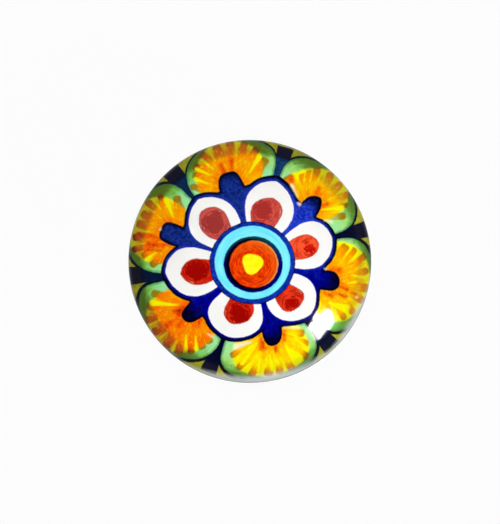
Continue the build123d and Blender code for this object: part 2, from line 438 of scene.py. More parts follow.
def body_section():
    """The body's section from the middle of the face, round the rim and foot, to the end of the socket."""
    fine, plain = painted_spacing, plain_spacing
    dome_edge = math.degrees(math.pi / 2 - face_angle)
    slope_normal = math.degrees(math.pi / 2 - rim_slope)
    shoulder_centre = (shoulder_centre_radius, shoulder_centre_height)
    shoulder = section_arc(shoulder_centre, shoulder_radius, dome_edge, slope_normal, fine)
    rim = section_arc((rim_centre_radius, widest_height), rim_radius, slope_normal, 0, fine)
    swept = [(head_radius, widest_height), (head_radius, widest_height - rim_roll)]
    swept += [(waist_radius, waist_height + under_head_cove), (waist_radius, waist_height)]
    side = section_curve(swept, fine)
    below = along_line(side)
    foot_top = (foot_radius - shoulder_edge, foot_band)
    inner_corners = [
        (foot_radius - foot_edge, 0),
        (recess_radius, 0),
        (recess_radius, recess_depth),
        (socket_radius + socket_lead_in, recess_depth),
        (socket_radius, recess_depth + socket_lead_in),
        (socket_radius, socket_end),
        (0, socket_end),
    ]
    spacings = (plain, fine, plain, plain, socket_spacing, socket_end_spacing)
    parts = [
        section_arc((0, face_centre_height), face_radius, 90, dome_edge, fine),
        shoulder,
        section_curve([shoulder[-1], rim[0]], fine),
        rim,
        side[below <= paint_reach_past_rim],
        side[below > paint_reach_past_rim][1::2],
        section_curve([swept[-1], (waist_radius, foot_band), foot_top], fine * 1.5),
        section_arc((foot_top[0], foot_band - shoulder_edge), shoulder_edge, 90, 0, fine),
        section_arc((foot_radius - foot_edge, foot_edge), foot_edge, 0, -90, fine),
    ]
    parts += [section_curve(ends[:2], ends[2]) for ends in zip(inner_corners, inner_corners[1:], spacings)]
    points = np.concatenate(parts)
    apart = np.hypot(*np.diff(points, axis=0).T) > same_place
    return points[np.concatenate([[True], apart])]


def stitch(ring, next_ring):
    """Triangles between two rings of any number of points each, given as first index and count."""
    (a, a_count), (b, b_count) = ring, next_ring
    i = j = 0
    triangles = []
    while i < a_count or j < b_count:
        if j == b_count or (i < a_count and (i + 1) * b_count <= (j + 1) * a_count):
            triangle = (a + i % a_count, b + j % b_count, a + (i + 1) % a_count)
            i += 1
        else:
            triangle = (a + i % a_count, b + j % b_count, b + (j + 1) % b_count)
            j += 1
        if len(set(triangle)) == 3:
            triangles.append(triangle)
    return triangles


def waves(angle, height, parts):
    """A sum of waves round the knob, which stays between -1 and 1."""
    total = sum(share for _, _, share, _ in parts)
    terms = [share * np.sin(count * angle + phase + turn * height) for count, phase, share, turn in parts]
    return sum(terms) / total


def hand_turned(angle, radius, height):
    """How far inward each point lies from the true section, in millimetres."""
    across = np.clip(radius / head_radius, 0, 1)
    return wobble_depth * across * (0.5 + waves(angle, height, wobble_waves) / 2)


def glaze_line(angle):
    """Height of the glaze's lower edge round the foot, in millimetres."""
    return glaze_line_height + glaze_line_wander * waves(angle, 0, glaze_line_waves)


def mesh_object(name, points, faces):
    """A smooth-shaded object from points in millimetres."""
    mesh = bpy.data.meshes.new(name)
    mesh.from_pydata((np.asarray(points) * MM).tolist(), [], faces)
    mesh.update()
    mesh.shade_smooth()
    piece = bpy.data.objects.new(name, mesh)
    bpy.context.scene.collection.objects.link(piece)
    return piece


def store(piece, name, values):
    """Keeps one value, or one vector, for each point of a piece, for its material to read."""
    values = np.asarray(values, float)
    vector = values.ndim == 2
    layer = piece.data.attributes.new(name, "FLOAT_VECTOR" if vector else "FLOAT", "POINT")
    layer.data.foreach_set("vector" if vector else "value", values.astype(np.float32).ravel())


def seen_crown(section):
    """The section down to the widest line: distance over the surface, and the radius that the camera sees."""
    widest = int(np.argmax(section[:, 0] >= head_radius - same_place)) + 1
    radius, height = section[:widest].T
    seen = radius * camera_distance / (camera_distance + widest_height - height)
    return along_line(section[:widest]), np.maximum.accumulate(seen)


class Canvas:
    """The body's outside as the camera sees it, where the painted forms are laid out and measured."""

    def __init__(self, section, angle, reach):
        crown_reach, seen = seen_crown(section)
        edge_reach = np.interp(head_radius, seen, crown_reach)
        past_edge = head_radius + reach - edge_reach
        self.front_radius = np.where(reach > edge_reach, past_edge, np.interp(reach, crown_reach, seen))
        self.points = polar(self.front_radius, angle) - flower_centre
        self.radius = np.hypot(*self.points.T)
        self.angle = np.arctan2(self.points[:, 1], self.points[:, 0])

    def place(self, angle, radius):
        """Points of the plane for angles and radii about the flower's middle."""
        return polar(radius, np.radians(angle))

    def around(self, knots):
        """A value that runs smoothly round the flower through the given angles."""
        return np.interp(np.degrees(self.angle), list(knots), list(knots.values()), period=360)

    def turn_from(self, angle):
        """How far round the flower each point lies from an angle, in degrees to either side."""
        return (np.degrees(self.angle) - angle + 180) % 360 - 180

    def depth(self, outline):
        """How deep each point lies inside a closed outline. Outside it, the depth is below zero."""
        middle = outline.mean(axis=0)
        size = np.hypot(*(outline - middle).T).max()
        away = np.hypot(*(self.points - middle).T) - size
        depth = -np.maximum(away, depth_reach)
        near = away < depth_reach
        x, y = self.points[near].T
        gap = np.full(len(x), 1e9)
        inside = np.zeros(len(x), bool)
        for start, end in zip(outline, np.roll(outline, -1, axis=0)):
            run = end - start
            along = np.clip(((x - start[0]) * run[0] + (y - start[1]) * run[1]) / (run @ run + 1e-12), 0, 1)
            gap = np.minimum(gap, np.hypot(x - start[0] - along * run[0], y - start[1] - along * run[1]))
            spans = (start[1] > y) != (end[1] > y)
            rise = run[1] if abs(run[1]) > 1e-12 else 1e-12
            inside ^= spans & (x < start[0] + (y - start[1]) * run[0] / rise)
        depth[near] = np.where(inside, gap, -gap)
        return depth

    def deepest(self, outlines):
        """Depth inside the nearest of several outlines, and which one that is."""
        depths = np.array([self.depth(outline) for outline in outlines])
        which = depths.argmax(axis=0)
        return depths[which, np.arange(depths.shape[1])], which

    def arch(self, form, foot, root=0.0):
        """Outline of an arch that stands on a circle round the flower's middle, from foot to tip to foot.
        The root carries its sides on below the circle."""
        steps = 1 - (1 - np.linspace(0, 1, arch_points)) ** arch_crowding
        tip_angle, tip_radius = form["tip"]
        drawn_in = 1 - form.get("waist", 0.0) * (1 - steps) ** 4
        sides = []
        for edge, (swell, rise) in zip(form["feet"], (form["curves"][:2], form["curves"][2:])):
            sides.append(tip_angle + (edge - tip_angle) * (1 - steps**rise) ** (1 / swell) * drawn_in)
        ccw, cw = form["feet"]
        angle = np.concatenate([[cw], sides[1], sides[0][-2::-1], [ccw]])
        radius = foot + (tip_radius - foot) * steps
        return self.place(angle, np.concatenate([[foot - root], radius, radius[-2::-1], [foot - root]]))

    def stroke(self, start, end, start_width, end_width):
        """Depth inside a brush stroke with half widths at its ends, and how far along it each point lies."""
        run = end - start
        length = math.hypot(*run)
        offset = self.points - start
        reach = offset @ run / length
        along = np.clip(reach / length, 0, 1)
        width = start_width + (end_width - start_width) * along
        across = width - np.abs(offset[:, 0] * run[1] - offset[:, 1] * run[0]) / length
        corner = min(stroke_corner, end_width)
        sides = np.stack([across, length - reach])
        gaps = np.maximum(corner - sides, 0)
        blunt = np.where(gaps.min(axis=0) > 0, corner - np.hypot(*gaps), sides.min(axis=0))
        return np.where(reach > 0, blunt, width - np.hypot(*offset.T)), along

    def marks(self, marks):
        """Depth inside the nearest of several single marks of the brush."""
        ends = [(self.place(*mark[:2]), self.place(*mark[2:4]), mark_fine_end, mark[4]) for mark in marks]
        return np.max([self.stroke(*mark)[0] for mark in ends], axis=0)


def paint_strokes(canvas):
    """Depth inside the fans' strokes, how far along the nearest one each point lies, and its darkness."""
    depth = np.full(len(canvas.points), far_outside)
    along, darkness = np.zeros((2, len(canvas.points)))
    for club, tips in zip(clubs, stroke_tips):
        ccw, cw = club["feet"]
        start = club["foot"] + stroke_side_gap
        rise = club["tip"][1] + stroke_middle_gap - start
        for place, (angle, radius, width, dark) in enumerate(tips):
            share = place / (len(tips) - 1)
            root_radius = start + rise * math.sin(math.pi * share) ** stroke_root_bulge
            root = canvas.place(ccw + (cw - ccw) * share, root_radius)
            stroke_depth, run = canvas.stroke(root, canvas.place(angle, radius), stroke_root_width, width)
            nearer = stroke_depth > depth
            along, darkness = np.where(nearer, run, along), np.where(nearer, dark, darkness)
            depth = np.maximum(depth, stroke_depth)
    return depth, along, darkness


def paint_blocks(canvas):
    """Depth inside the dark blocks between the fans, and which block is nearest."""
    outlines = []
    for block in blocks:
        (narrow_ccw, narrow_cw), (wide_ccw, wide_cw) = block["narrow"], block["wide"]
        angle = [wide_cw, wide_cw, narrow_cw, narrow_ccw, wide_ccw, wide_ccw]
        inward = [block["top"], block_wide_radius, block_narrow_radius]
        outlines.append(canvas.place(angle, np.array(inward + inward[::-1])))
    return canvas.deepest(outlines)


def fan_warmth(canvas, which):
    """How far each point's fan leans from yellow to red-orange there."""
    warmth = np.zeros(len(canvas.points))
    for place, fan in enumerate(fans):
        middle, (ccw, cw) = fan["tip"][0], fan["feet"]
        sides = [cw - middle, 0, ccw - middle]
        here = np.interp(canvas.turn_from(middle), sides, fan["warmth"][::-1])
        warmth = np.where(which == place, here, warmth)
    return warmth


def fan_brush(canvas, which):
    """Coordinates that run round and along the strokes of the nearest fan, for streaks of paint."""
    roots = np.array([canvas.place(club["tip"][0], club["foot"]) for club in clubs])
    offset = canvas.points - roots[which]
    out = np.arctan2(roots[which][:, 1], roots[which][:, 0])
    turn = (np.arctan2(offset[:, 1], offset[:, 0]) - out + math.pi) % (2 * math.pi) - math.pi
    round_it, along = fan_brush_scale
    return np.stack([turn * round_it, np.hypot(*offset.T) * along, which * fan_apart], axis=-1)


def spot_brush(canvas, which):
    """Coordinates that curl round the dark patch of the nearest spot, for the turns of the brush in it."""
    middles = np.array([canvas.place(*form["patch"][:2]) for form in spots])
    x, y = (canvas.points - middles[which]).T
    across, along = spot_brush_scale
    turning = polar(along, np.arctan2(y, x))
    return np.stack([np.hypot(x, y) * across, turning[:, 0] + which * spot_apart, turning[:, 1]], axis=-1)


def each(forms, name, which):
    """One value of the nearest form for each point."""
    return np.array([form[name] for form in forms])[which]


def paint(piece, section, angle, reach):
    """Lays the flower out over the body, and stores how deep each point lies in each painted form."""
    canvas = Canvas(section, angle, reach)
    petal, _ = canvas.deepest([canvas.arch(form, petal_foot) for form in petals])
    spot, which_spot = canvas.deepest([canvas.arch(form, spot_foot) for form in spots])
    club, _ = canvas.deepest([canvas.arch(form, form["foot"], club_root) for form in clubs])
    fan, which_fan = canvas.deepest([canvas.arch(form, form["foot"]) for form in fans])
    warm, _ = canvas.deepest([canvas.arch(form["warm"], club["foot"]) for form, club in zip(fans, clubs)])
    stroke, stroke_run, stroke_dark = paint_strokes(canvas)
    block, which_block = paint_blocks(canvas)
    patches = [form["patch"] for form in spots]
    patch = [size - np.hypot(*(canvas.points - canvas.place(*middle)).T) for *middle, size in patches]
    field = np.minimum(blue_field_radius - canvas.radius, -fan)
    from_lift = canvas.turn_from(paint_lift_angle) / paint_lift_spread
    end = paint_end - paint_end_lift * np.exp(-(np.abs(from_lift) ** 3))
    x, y = canvas.points.T
    heart_turn = np.arctan2(y - heart_middle, x)
    heart = heart_radius * (1 + heart_corners * np.cos(3 * (heart_turn + heart_lean) + 1.5 * math.pi))
    line = rim_shade_line_width - np.abs(canvas.front_radius - rim_shade_line_radius)
    border_across, border_along = border_brush_scale
    round_across, round_along = round_brush_scale
    depths = {
        "petal": petal,
        "spot": np.minimum(spot, petal + overlap),
        "patch": np.max(patch, axis=0),
        "club": club,
        "blue": np.maximum.reduce([petal + canvas.around(outline_widths), club, field]),
        "fan": fan,
        "outline": fan + each(fans, "outline", which_fan),
        "warm": np.minimum(warm, fan),
        "stroke": np.minimum(stroke, fan + overlap),
        "yellow": np.minimum(canvas.marks(yellow_marks), fan + overlap / 2),
        "red": canvas.marks(red_marks),
        "bare": canvas.marks(bare_and_highlight_marks),
        "block": block,
        "paint_end": end - canvas.radius,
        "heart": heart - np.hypot(x, y - heart_middle),
    }
    for name, (aside, up, half_width, half_height) in eye_bands.items():
        depths[name] = (1 - np.hypot((x - aside) / half_width, (y - up) / half_height)) * half_width
    values = {
        "spot_tone": each(spots, "tone", which_spot),
        "fan_warmth": fan_warmth(canvas, which_fan),
        "fan_merge": each(fans, "merge", which_fan),
        "stroke_run": stroke_run,
        "stroke_dark": stroke_dark,
        "block_tone": each(blocks, "tone", which_block),
        "flower_radius": canvas.radius,
        "front_radius": canvas.front_radius,
        "field_tone": canvas.around(field_tones),
        "past_wash": canvas.radius - canvas.around(wash_starts),
        "past_shade": canvas.radius - canvas.around(shade_starts),
        "painted_rim_shade": canvas.around(painted_rim_shades),
        "rim_shade_line": np.clip(line / rim_shade_line_softness, 0, 1) * canvas.around(rim_shade_lines),
        "eye_top": np.clip(np.sin(canvas.angle), 0, 1),
        "eye_right": np.clip(np.cos(canvas.angle - eye_lean), 0, 1),
        "fan_brush": fan_brush(canvas, which_fan),
        "border_brush": np.stack(
            [fan * border_across, canvas.angle * border_along, which_fan * fan_apart], axis=-1
        ),
        "spot_brush": spot_brush(canvas, which_spot),
        "round_brush": np.stack(
            [canvas.radius * round_across, *polar(round_along, canvas.angle).T], axis=-1
        ),
    }
    for name, depth in depths.items():
        store(piece, name + "_depth", depth)
    for name, value in values.items():
        store(piece, name, value)


def knob_body():
    """The glazed body: one closed mesh from the true section, with the flower laid out over it."""
    section = body_section()
    run = np.gradient(section, axis=0)
    outward = np.stack([-run[:, 1], run[:, 0]], axis=-1) / np.hypot(*run.T)[:, None]
    reach = along_line(section)
    painted_end = seen_crown(section)[0][-1] + paint_reach_past_rim
    rings = []
    angles = []
    for (radius, height), distance in zip(section, reach):
        spacing = painted_spacing if distance < painted_end else plain_spacing
        count = max(fewest_points, round(2 * math.pi * radius / spacing)) if radius > same_place else 1
        rings.append((sum(len(ring) for ring in angles), count))
        angles.append(np.arange(count) * 2 * math.pi / count)
    row = np.repeat(np.arange(len(section)), [count for _, count in rings])
    angle = np.concatenate(angles)
    radius, height = section[row].T
    seat_start = int(np.argmax((section[:, 1] < same_place) & (section[:, 0] < foot_radius)))
    outside = row < seat_start
    inward = np.where(outside, hand_turned(angle, radius, height), 0)
    above_line = height - glaze_line(angle)
    bare = np.clip(0.5 - above_line / glaze_edge_width, 0, 1)
    foot_side = outside & (height < foot_band) & (radius > recess_radius)
    inward = inward + np.where(foot_side, glaze_thickness * bare**2 * (3 - 2 * bare), 0)
    turned_radius = radius - outward[row, 0] * inward
    turned_height = height - outward[row, 1] * inward * np.clip(height / foot_edge, 0, 1)
    points = polar(turned_radius, angle, turned_height)
    faces = [triangle for pair in zip(rings, rings[1:]) for triangle in stitch(*pair)]
    piece = mesh_object("knob_body", points, faces)
    paint(piece, section, angle, reach[row])
    store(piece, "glaze_height", np.where(outside, above_line, far_outside))
    return piece


def insert_section():
    """The insert's section as (radius, height, share of the knurl's depth), round the outside and back down
    the bore. The thread is cut into the bore's rows afterwards."""
    flange_low = insert_low.z / MM
    flange_edge = insert_high.x / MM
    inner_end = insert_high.z / MM
    rows = [(bore_mouth, flange_low, 0)]
    rows += [(flange_edge - flange_bevel, flange_low, 0), (flange_edge, flange_low + flange_bevel, 0)]
    rows += [(flange_edge, recess_depth - flange_bevel, 0), (flange_edge - flange_bevel, recess_depth, 0)]
    rows += [(relief_radius, recess_depth, 0)]
    for band_start in (recess_depth + relief_width, inner_end - knurl_band):
        band_end = band_start + knurl_band
        top = band_end - (tip_chamfer if band_end >= inner_end - same_place else 0)
        rows += [(relief_radius, band_start, 0), (insert_radius, band_start, 1)]
        rows += [(insert_radius, z, 1) for z in np.linspace(band_start, top, knurl_rows)[1:]]
        if band_end < inner_end - same_place:
            rows += [(relief_radius, band_end, 0)]
    rows += [(insert_radius - tip_chamfer, inner_end, 0)]
    outer_rows = len(rows)
    thread_rows = round((inner_end - flange_low) / thread_row_height)
    rows += [(thread_crest, z, 0) for z in np.linspace(inner_end, flange_low, thread_rows + 1)[:-1]]
    return np.array(rows), outer_rows


def brass_insert():
    """The knurled insert with its right-hand M4 thread, as one closed mesh."""
    rows, outer_rows = insert_section()
    flange_low, inner_end = rows[0, 1], rows[outer_rows, 1]
    angle = np.arange(insert_segments) * 2 * math.pi / insert_segments
    radius = np.repeat(rows[:, :1], insert_segments, axis=1)
    height = np.repeat(rows[:, 1:2], insert_segments, axis=1)
    pitch_angle = 2 * math.pi / knurl_grooves
    across = np.abs((angle + pitch_angle / 2) % pitch_angle - pitch_angle / 2) * insert_radius
    radius -= rows[:, 2:3] * np.clip(knurl_depth - across, 0, None)
    from_groove = np.abs((height / thread_pitch - angle / (2 * math.pi)) % 1 - 0.5) * thread_pitch
    flank = (thread_crest_flat - from_groove) / (thread_crest_flat - thread_root_flat)
    threaded = thread_crest + thread_depth * np.clip(flank, 0, 1)
    mouth = bore_mouth - (height - flange_low)
    inner_lead = thread_crest + thread_depth - (inner_end - height)
    bore = np.maximum.reduce([threaded, mouth, inner_lead])
    radius[outer_rows:] = bore[outer_rows:]
    points = polar(radius, angle, height).reshape(-1, 3)
    rings = [(start, insert_segments) for start in range(0, len(points), insert_segments)]
    faces = []
    for (low, count), (high, _) in zip(rings, rings[1:] + rings[:1]):
        for i in range(count):
            j = (i + 1) % count
            faces.append((low + i, low + j, high + j, high + i))
    piece = mesh_object("brass_insert", points, faces)
    piece.data.set_sharp_from_angle(angle=sharp_edge)
    return piece


def linear(code):
    """Scene colour from a display colour written as six hexadecimal digits."""
    parts = [int(code[i : i + 2], 16) / 255 for i in (0, 2, 4)]
    return (*(p / 12.92 if p <= 0.04045 else ((p + 0.055) / 1.055) ** 2.4 for p in parts), 1.0)


class Value:
    """An output of a node. Sums, differences and products of values are nodes too."""

    def __init__(self, graph, socket):
        self.graph = graph
        self.socket = socket

    def __add__(self, other):
        return self.graph.maths("ADD", self, other)

    def __sub__(self, other):
        return self.graph.maths("SUBTRACT", self, other)

    def __rsub__(self, other):
        return self.graph.maths("SUBTRACT", other, self)

    def __mul__(self, other):
        return self.graph.maths("MULTIPLY", self, other)

    def larger(self, other):
        return self.graph.maths("MAXIMUM", self, other)

    def lay(self, over, share, blend="MIX"):
        """This colour with another laid over it."""
        return self.graph.lay(self, over, share, blend)

    def swing(self, size):
        """Noise from 0 to 1 turned into a stray of this size, half of it to each side."""
        return (self - 0.5) * size

    def step(self, start, end, most=1.0):
        """Smooth change from 0 to the most as the value goes from start to end."""
        inputs = {"Value": self, "From Min": start, "From Max": end, "To Max": most}
        return self.graph.node("MapRange", inputs, interpolation_type="SMOOTHSTEP")


class Graph:
    """The nodes of a material, a world or a lamp. Each input is a number, a colour or a value."""

    def __init__(self, owner, empty=False):
        owner.use_nodes = True
        self.tree = owner.node_tree
        if empty:
            self.tree.nodes.clear()

    def node(self, kind, inputs, output=0, **settings):
        made = self.tree.nodes.new("ShaderNode" + kind)
        for name, value in settings.items():
            setattr(made, name, value)
        for name, value in inputs.items():
            self.feed(made.inputs[name], value)
        return Value(self, made.outputs[output])

    def feed(self, socket, value):
        if isinstance(value, Value):
            self.tree.links.new(value.socket, socket)
        else:
            socket.default_value = linear(value) if isinstance(value, str) else value

    def maths(self, operation, a, b=0.0):
        return self.node("Math", {0: a, 1: b}, operation=operation)

    def lay(self, under, over, share, blend="MIX"):
        return self.node("Mix", {0: share, 6: under, 7: over}, 2, data_type="RGBA", blend_type=blend)

    def show(self, kind, share, a, b):
        """Sends a mix of two shaders to the output."""
        output = self.tree.nodes.new("ShaderNodeOutput" + kind)
        self.feed(output.inputs["Surface"], self.node("MixShader", {0: share, 1: a, 2: b}))


class Finish(Graph):
    """A piece's material. Places and depths in it are in millimetres."""

    def __init__(self, name):
        self.material = bpy.data.materials.new(name)
        super().__init__(self.material)
        position = self.node("TexCoord", {}, "Object")
        self.at = self.node("VectorMath", {0: position, "Scale": 1 / MM}, operation="SCALE")

    def stored(self, name):
        """A value kept for each point of the mesh."""
        return self.node("Attribute", {}, "Fac", attribute_name=name)

    def brush(self, name):
        """Coordinates kept for each point of the mesh."""
        return self.node("Attribute", {}, "Vector", attribute_name=name)

    def noise(self, scale, detail=3.0, at=None, roughness=0.5):
        inputs = {"Vector": at or self.at, "Scale": scale, "Detail": detail, "Roughness": roughness}
        return self.node("TexNoise", inputs)

    def cells(self, scale):
        """Distance from the nearest of many scattered points."""
        inputs = {"Vector": self.at, "Scale": scale, "Randomness": 1.0}
        return self.node("TexVoronoi", inputs, "Distance")

    def ramp(self, value, colours):
        """Colour that follows a value from 0 to 1 through the given ones."""
        made = self.tree.nodes.new("ShaderNodeValToRGB")
        self.feed(made.inputs[0], value)
        stops = made.color_ramp.elements
        while len(stops) < len(colours):
            stops.new(0.5)
        for stop, (position, code) in zip(stops, colours.items()):
            stop.position = position
            stop.color = linear(code)
        return Value(self, made.outputs[0])

    def mottled(self, colours, scale, detail=4.0, at=None, low=0.35, high=0.65):
        """Two colours run together by noise."""
        return self.lay(*colours, self.noise(scale, detail, at).step(low, high))

    def surface(self, colour, rough, relief, more):
        """Gives the material its colour, roughness and relief, and more of its shader's inputs."""
        bump = self.node("Bump", {"Height": relief, "Distance": MM, "Strength": 1.0})
        inputs = {"Base Color": colour, "Roughness": rough, "Normal": bump, **more}
        for name, value in inputs.items():
            self.feed(self.tree.nodes["Principled BSDF"].inputs[name], value)
        return self.material


class Paint(Finish):
    """The material of the painted body. The edges of its forms wander with the hand."""

    def __init__(self, name):
        super().__init__(name)
        self.wander = self.noise(0.9, 2).swing(0.22) + self.noise(5.0, 4, roughness=0.7).swing(0.24)

    def form(self, name, stray=None):
        """How deep each point lies in a painted form, whose edge strays by a share of the wander."""
        return self.stored(name + "_depth") + self.wander * (stray or edges[name][0])

    def cover(self, name, most=1.0):
        """How far the paint of a form covers each point."""
        return self.form(name).step(*edges[name][1:], most)


def tin_glaze(finish):
    """White glaze, a little uneven, with a few iron specks. It pools at the foot and is thin at its edge."""
    height = finish.stored("glaze_height")
    colour = finish.mottled(glaze_white, 0.13).lay(glaze_pooled, height.step(4.0, 0.8, 0.7))
    edge = height + finish.noise(1.6).swing(0.35)
    colour = colour.lay(glaze_thin, edge.step(0.45, 0.0, 0.8))
    rare = finish.noise(0.3, 1).step(0.56, 0.62, 0.6)
    return colour.lay(iron_speck, finish.cells(0.42).step(0.05, 0.025) * rare)


def fan_greens(finish):
    """The fans' green border, brushed along its edge: mint at the foot, olive at the rim, partly painted
    shade.
    """
    streak = finish.noise(0.8, 3, finish.brush("border_brush"), 0.6)
    uneven = streak * 2.2 + finish.noise(1.1, 4) * 2.6 - 2.4
    height = (finish.stored("flower_radius") + uneven).step(13.2, 19.4)
    sunny = finish.noise(0.22, 2).step(0.42, 0.6, 0.5) * height.step(0.75, 0.4)
    green = finish.ramp(height, green_border).lay(green_lime, sunny)
    return green.lay(green_edge, finish.form("fan", 2.0).step(0.5, 0.0, 0.7))


def fan_middles(finish, green):
    """Yellow laid inside the green, and the orange strokes over both, each brushed out from the club."""
    along = finish.brush("fan_brush")
    streak = finish.noise(1.0, 4, along, 0.6)
    run, merge, dark = (finish.stored(name) for name in ("stroke_run", "fan_merge", "stroke_dark"))
    warm = finish.form("warm")
    toward_tip = (run + streak.swing(0.16)).step(0.72, 0.96)

    by_club = finish.stored("club_depth").step(-1.3, -0.1, 0.25)
    warmth = finish.stored("fan_warmth") + streak.swing(0.75) + by_club - toward_tip * 0.34
    fan = green.lay(finish.ramp(warmth, fan_warmths), finish.cover("warm"))

    laid = (finish.form("stroke", 0.9) + (merge - run).larger(0.0) * 1.7).step(-0.2, 0.06)
    lifted = run.step(0.3, 0.5) * run.step(0.84, 0.66) * (0.8 - merge)
    laid = laid * (1.0 - lifted.larger(0.0))
    at_tip = laid * toward_tip
    worn = (streak + toward_tip * 0.5).step(0.2, 0.5)
    gathered = dark * 0.85 + 0.15 + finish.stored("stroke_depth").step(0.3, 0.0, 0.1)
    dark_tint = finish.lay(stroke_brown, stroke_umber, dark.step(0.72, 1.0))
    tint = finish.lay(stroke_gold, stroke_amber, run.step(0.4, 0.8)).lay(dark_tint, toward_tip * gathered)
    fan = fan.lay(tint, laid * worn, "MULTIPLY")

    fine = finish.noise(3.4, 3, along, 0.6)
    inside = warm.step(0.0, 0.3) * at_tip.step(0.8, 0.2)
    fan = fan.lay(fan_lemon, fine.step(0.54, 0.66, 0.45) * inside)
    fan = fan.lay(stroke_gold, fine.step(0.46, 0.34, 0.5) * inside, "MULTIPLY")
    over_green = at_tip * warm.step(0.15, -0.3, 0.6)
    fan = fan.lay(finish.mottled(stroke_on_green, 2.6), over_green)
    fan = fan.lay(fan_yellow, finish.cover("yellow", 0.92))
    red = finish.stored("red_depth") + streak.swing(0.9)
    ember = finish.mottled(fan_ember, 2.2).lay(fan_coal, red.step(0.28, 0.66))
    return fan.lay(ember, red.step(-0.45, 0.3, 0.93))


def fan_colours(finish, colour):
    """Olive ground at the rim, dark blocks, and the fans, each with its outline, under the pale wash."""
    inner = finish.lay(*block_inner, finish.stored("block_tone"))
    inner = inner.lay(block_rim_shaded[1], finish.noise(2.6, 4).step(0.4, 0.65, 0.6))
    # Painted shade: past the shoulder the blocks turn to their shaded near-black copy
    in_rim_shade = finish.stored("front_radius").step(*rim_shade_darkening)
    block = inner.lay(finish.mottled(block_rim_shaded, 2.0), in_rim_shade)
    middles = fan_middles(finish, fan_greens(finish))

    fans = finish.mottled(ground_olive, 0.7)
    fans = fans.lay(outline_navy, finish.cover("outline"))
    fans = fans.lay(block, finish.cover("block"))
    fans = fans.lay(middles, finish.cover("fan"))
    past_wash = finish.stored("past_wash") + finish.wander * 1.2
    fans = fans.lay(paint_wash, past_wash.step(0.0, wash_width, wash_share))
    return colour.lay(fans, finish.cover("paint_end"))


def blue_colours(finish, colour):
    """Blue between the petals and round them, and the clubs. It is darkest along the fans."""
    tone = finish.stored("field_tone") + finish.noise(0.8).swing(0.5)
    dark, light, beside = (finish.ramp(tone, blues) for blues in (blue_dark, blue_light, blue_beside))
    field = dark.lay(light, finish.noise(2.2, 5).step(0.38, 0.62))
    field = field.lay(blue_edge, finish.stored("past_shade").step(0.0, shade_width, shade_share))
    field = field.lay(beside, finish.stored("petal_depth").step(-0.65, -0.15, 0.55))
    field = field.lay(blue_speck, finish.cells(1.9).step(0.14, 0.05, 0.16))
    by_fan = finish.stored("fan_depth").step(-0.7, -0.1, 0.95)
    field = field.lay(blue_edge, finish.form("blue", 2.4).step(0.72, 0.2) * by_fan)
    return colour.lay(field, finish.cover("blue"))


def petal_colours(finish, colour):
    """Petals left in the white glaze, each with a red spot at its foot."""
    spot = finish.form("spot")
    swirl = finish.noise(1.0, 5, finish.brush("spot_brush"), 0.65)
    dabs = finish.noise(3.2, 5, roughness=0.65)
    tone = finish.stored("spot_tone")
    bright, deep, worn = (finish.ramp(tone, reds) for reds in (red_edge, red_patch, red_worn))
    bright = bright.lay(deep, swirl.step(0.42, 0.6, 0.65))
    deep = deep.lay(bright, dabs.step(0.58, 0.7, 0.5))
    patch = finish.form("patch", 3.0) + swirl.swing(4.5)
    red = bright.lay(deep, patch.step(-0.45, 0.4))
    wear = swirl + spot.step(1.1, 0.15, 0.1)
    red = red.lay(worn, wear.step(0.66, 0.76, 0.6))
    red = red.lay(deep, spot.step(0.26, 0.05, 0.6))
    colour = colour.lay(tin_glaze(finish), finish.cover("petal"))
    return colour.lay(red, finish.cover("spot"))


def eye_colours(finish, colour):
    """The flower's eye: blue-edged turquoise ring, navy ring, orange-red pupil and yellow heart."""
    swirl = finish.brush("round_brush")
    top, right = finish.stored("eye_top"), finish.stored("eye_right")
    # Partly painted light: the eye's ring, navy and pupil are lighter toward the top and right
    dull = finish.noise(2.6, 5, roughness=0.65).step(0.46, 0.64, 0.75) * (1.0 - right * 0.7)
    rim = finish.mottled(eye_edge_blue, 1.6, 5).lay(eye_navy, dull)
    inward = finish.stored("pupil_edge_depth").step(0.12, 0.5) - right * 0.8
    navy = finish.lay(*eye_navy_edge, top).lay(eye_navy, inward.larger(0.0))
    pupil = finish.stored("pupil_depth")
    red = finish.mottled(eye_red, 1.8, 5, swirl, 0.36, 0.64)
    red = red.lay(eye_orange, pupil.step(1.7, 0.0, 0.3) * (top + right))
    red = red.lay(eye_red_rim, pupil.step(0.34, 0.04, 0.8) * right)
    colour = colour.lay(blue_edge, finish.form("ring_edge").step(-0.18, -0.06))
    ring, heart = finish.mottled(eye_cyan, 1.0, 3, swirl, 0.2, 0.8), finish.mottled(heart_yellow, 1.0)
    bands = {"ring_edge": rim, "ring": ring, "pupil_edge": navy, "pupil": red, "heart": heart}
    for name, band in bands.items():
        colour = colour.lay(band, finish.cover(name))
    return colour


